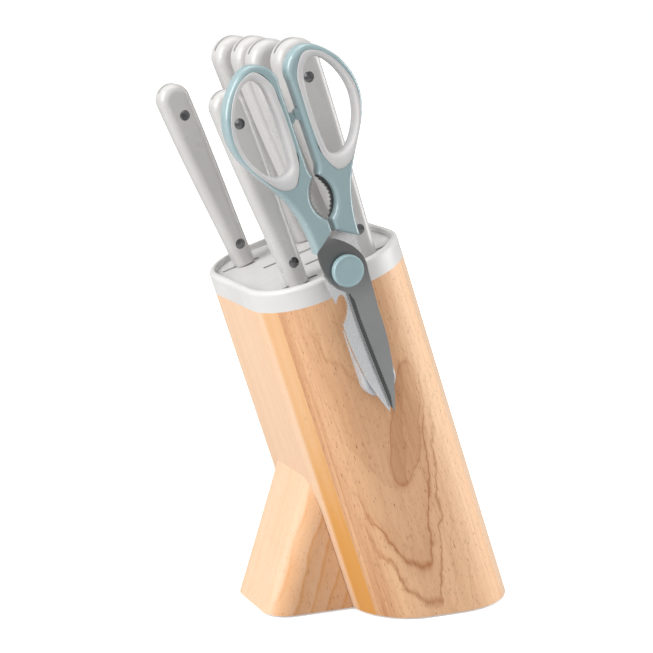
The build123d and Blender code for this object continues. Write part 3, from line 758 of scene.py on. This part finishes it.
# heights of its four corners over the blade's face: edge, ridge, foot of the ridge, underside
BEVEL_HEIGHTS = (0.01, 0.20, -0.05, -0.30)


def front_edge(along):
    """How far across the front blade's cutting edge lies, in millimetres."""
    return -3.15 + 2.9 * max(0.0, (-along - 30.0) / 56.0) ** 1.15


def ground_bevel():
    """Narrow ground bevel along the front blade's edge, with fine serrations on its inner side."""
    face_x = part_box("scissors_front_blade")[1][0]
    verts = []
    for i in range(BEVEL_STEPS + 1):
        share = i / BEVEL_STEPS
        along = BEVEL_START - BEVEL_LENGTH * share
        edge = front_edge(along)
        width = BEVEL_WIDTH * min(1.0, (1.0 - share) * 9.0 + 0.12) * min(1.0, share * 12.0 + 0.25)
        ridge = edge + width + (BEVEL_SERRATION if i % 2 else 0.0)
        for across, height in zip((edge, ridge, ridge + 0.12, edge + 0.3), BEVEL_HEIGHTS):
            verts.append(scissor_point(face_x + height * MM, across, along))
    faces = [(0, 1, 2, 3), tuple(4 * BEVEL_STEPS + k for k in (3, 2, 1, 0))]
    for i in range(BEVEL_STEPS):
        for k in range(4):
            a, b = 4 * i, 4 * (i + 1)
            n = (k + 1) % 4
            faces.append((b + k, b + n, a + n, a + k))
    add_piece("scissors_front_bevel", verts, faces, BEVEL_STEEL, "scissors_front",
              sharp_angle=20.0)


# shares of the cap's radius and of its depth, from the underside round to the face
PIVOT_CAP_PROFILE = [
    (0.02, 0.0), (0.97, 0.0), (0.99, 0.06), (1.0, 0.2), (1.0, 0.62), (0.995, 0.78), (0.975, 0.90),
    (0.94, 0.975), (0.90, 1.0), (0.865, 0.985), (0.84, 0.955), (0.80, 0.94), (0.5, 0.95), (0.2, 0.955),
]
PIVOT_CAP_FIT = 0.955       # its radius as a share of the model's cap


def pivot_cap():
    """Turned cap over the pivot: a rounded rim round a slightly sunk, nearly flat face."""
    low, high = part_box("scissors_pivot_cap")
    radius = (high[2] - low[2]) / 2 * PIVOT_CAP_FIT
    depth = high[0] - low[0]
    centre = Vector((low[0], PIVOT.y, PIVOT.z))
    verts, faces = lathe([(r * radius, h * depth) for r, h in PIVOT_CAP_PROFILE], centre, OUT, 128)
    add_piece("scissors_turned_pivot_cap", verts, faces, PIVOT_BLUE, "scissors_rear",
              ("scissors_pivot_cap",))


# --- stage ------------------------------------------------------------------------

def soft_light(name, place, aim, size, power):
    """An area light that faces a point."""
    data = bpy.data.lights.new(name, "AREA")
    data.shape = "RECTANGLE"
    data.size, data.size_y = size
    data.energy = power
    lamp = bpy.data.objects.new(name, data)
    lamp.location = place
    lamp.rotation_euler = (Vector(place) - Vector(aim)).to_track_quat("Z", "Y").to_euler()
    bpy.context.scene.collection.objects.link(lamp)


def floor_material():
    """White paper that glows to the camera alone, and bounces less light than it shows."""
    material, w, shader = start_material("floor_white")
    surface = place_group(w, MOULDED, Tint=(0.93, 0.93, 0.93), Shade=(0.91, 0.91, 0.91), Gloss_low=0.8,
                          Gloss_high=0.9)
    connect_surface(w, shader, surface, 0.00001, 0.2)
    seen = w.add("ShaderNodeLightPath").outputs["Is Camera Ray"]
    w.feed(shader, "Base Color", w.mix(seen, (0.55, 0.55, 0.55, 1.0), surface.outputs["Color"]))
    place = w.add("ShaderNodeTexCoord").outputs["Object"]
    away = w.add("ShaderNodeVectorMath", {"operation": "LENGTH"}, nr_0=place).outputs["Value"]
    glow = w.span(away, 0.12, 0.9, 0.42, 1.0)
    w.feed(shader, "Emission Color", (1.0, 1.0, 1.0, 1.0))
    w.feed(shader, "Emission Strength", w.product(glow, seen))
    shader.inputs["Specular IOR Level"].default_value = 0.1
    return material


WORLD_LIGHT = 0.48
LIGHTS_AIM = (0.0, -0.03, 0.17)
FLOOR_REACH = 6.0
FLOOR_DROP = 0.0002         # keeps the floor just clear of the sheets
# name, place, width and height, watts
SOFT_LIGHTS = [
    ("front_softbox", (0.25, -1.45, 0.75), (0.9, 1.2), 24.5),
    ("rear_softbox", (0.25, 1.45, 0.55), (0.8, 1.2), 16.5),
    ("right_softbox", (1.6, -0.1, 0.7), (0.7, 0.9), 2.2),
    ("top_softbox", (0.1, -0.2, 1.6), (1.2, 1.2), 12.0),
]


def studio():
    """Surroundings that look white and give less light than that, soft lights and a white floor."""
    world = bpy.data.worlds.new("studio")
    world.use_nodes = True
    bpy.context.scene.world = world
    w = Wiring(world.node_tree)
    background = world.node_tree.nodes["Background"]
    seen = w.add("ShaderNodeLightPath").outputs["Is Camera Ray"]
    w.feed(background, "Strength", w.span(seen, 0.0, 1.0, WORLD_LIGHT, 1.0, smooth=False))
    background.inputs["Color"].default_value = (1.0, 1.0, 1.0, 1.0)
    for name, place, size, power in SOFT_LIGHTS:
        soft_light(name, place, LIGHTS_AIM, size, power)
    floor = bpy.data.meshes.new("floor")
    corners = [(x * FLOOR_REACH, y * FLOOR_REACH, 0.0) for x, y in ((-1, -1), (1, -1), (1, 1), (-1, 1))]
    floor.from_pydata(corners, [], [(0, 1, 2, 3)])
    floor.materials.append(floor_material())
    ground = bpy.data.objects.new("floor", floor)
    ground.location.z = -FLOOR_DROP
    bpy.context.scene.collection.objects.link(ground)


VIEW_ANGLES = (67.46, 10.82, -0.43)     # azimuth, elevation and roll in degrees
VIEW_TARGET = Vector((0.0203, -0.0637, 0.1750))
VIEW_DISTANCE = 1.166
LENS = 106.92


def camera():
    """Long lens that looks down a little on the side with the scissors."""
    azimuth, elevation, roll = (math.radians(angle) for angle in VIEW_ANGLES)
    back = Vector((math.sin(azimuth) * math.cos(elevation), -math.cos(azimuth) * math.cos(elevation),
                   math.sin(elevation)))
    level = Vector((math.cos(azimuth), math.sin(azimuth), 0.0))
    upright = back.cross(level)
    right = level * math.cos(roll) + upright * math.sin(roll)
    up = upright * math.cos(roll) - level * math.sin(roll)
    data = bpy.data.cameras.new("camera")
    data.sensor_width = 36.0
    data.lens = LENS
    eye = bpy.data.objects.new("camera", data)
    place = Matrix((right, up, back)).transposed().to_4x4()
    place.translation = VIEW_TARGET + back * VIEW_DISTANCE
    eye.matrix_world = place
    bpy.context.scene.collection.objects.link(eye)
    bpy.context.scene.camera = eye
    bpy.context.scene.view_settings.view_transform = "Standard"


camera()
studio()
dress_nodes()
for knife_name in KNIVES:
    domed_rivets(knife_name)
lining("rear", 1)
lining("front", -1)
pivot_cap()
ground_bevel()
